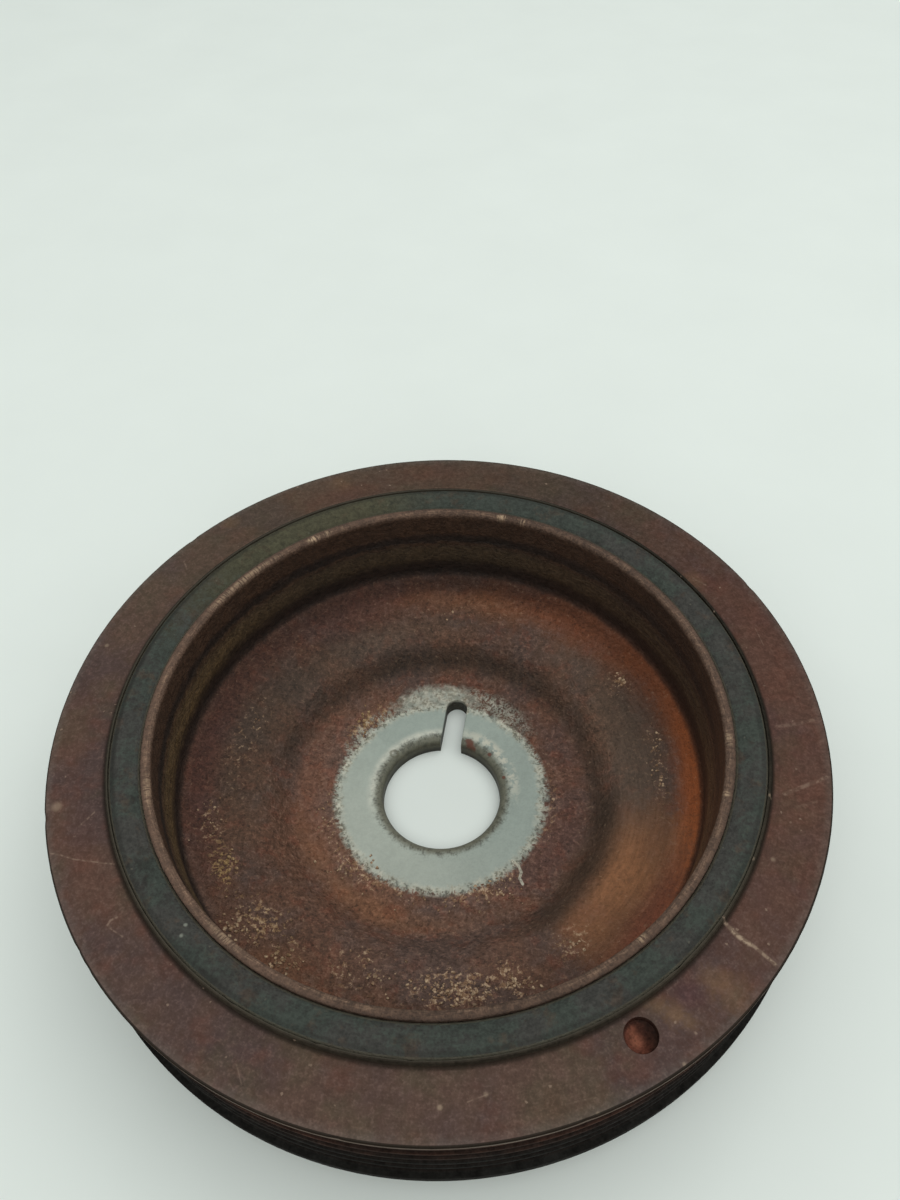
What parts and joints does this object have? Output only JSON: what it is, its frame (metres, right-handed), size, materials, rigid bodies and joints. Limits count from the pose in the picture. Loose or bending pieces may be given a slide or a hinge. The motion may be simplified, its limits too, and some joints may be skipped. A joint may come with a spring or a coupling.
{
  "type": "harmonic balancer",
  "caption": "Crankshaft harmonic balancer: ribbed iron belt ring on a rubber ring around a dished steel hub with a keyed bore.",
  "frame": {"origin": "on the bore's axis, at the hub's back face, which is the lowest face", "axes": "+Z along the bore's axis, away from the engine; +Y from the bore towards the keyway's closed end"},
  "size_m": [0.1528, 0.1528, 0.0352],
  "materials": {
    "ring_iron": "turned, under thin brown rust",
    "damper_rubber": "aged, matt, dusty",
    "hub_steel": "pressed, rusted, bare and bright on the seat"
  },
  "bodies": {
    "root": {"inertia_ring": "ring_iron", "rubber_ring": "damper_rubber", "hub": "hub_steel"}
  },
  "joints": []
}
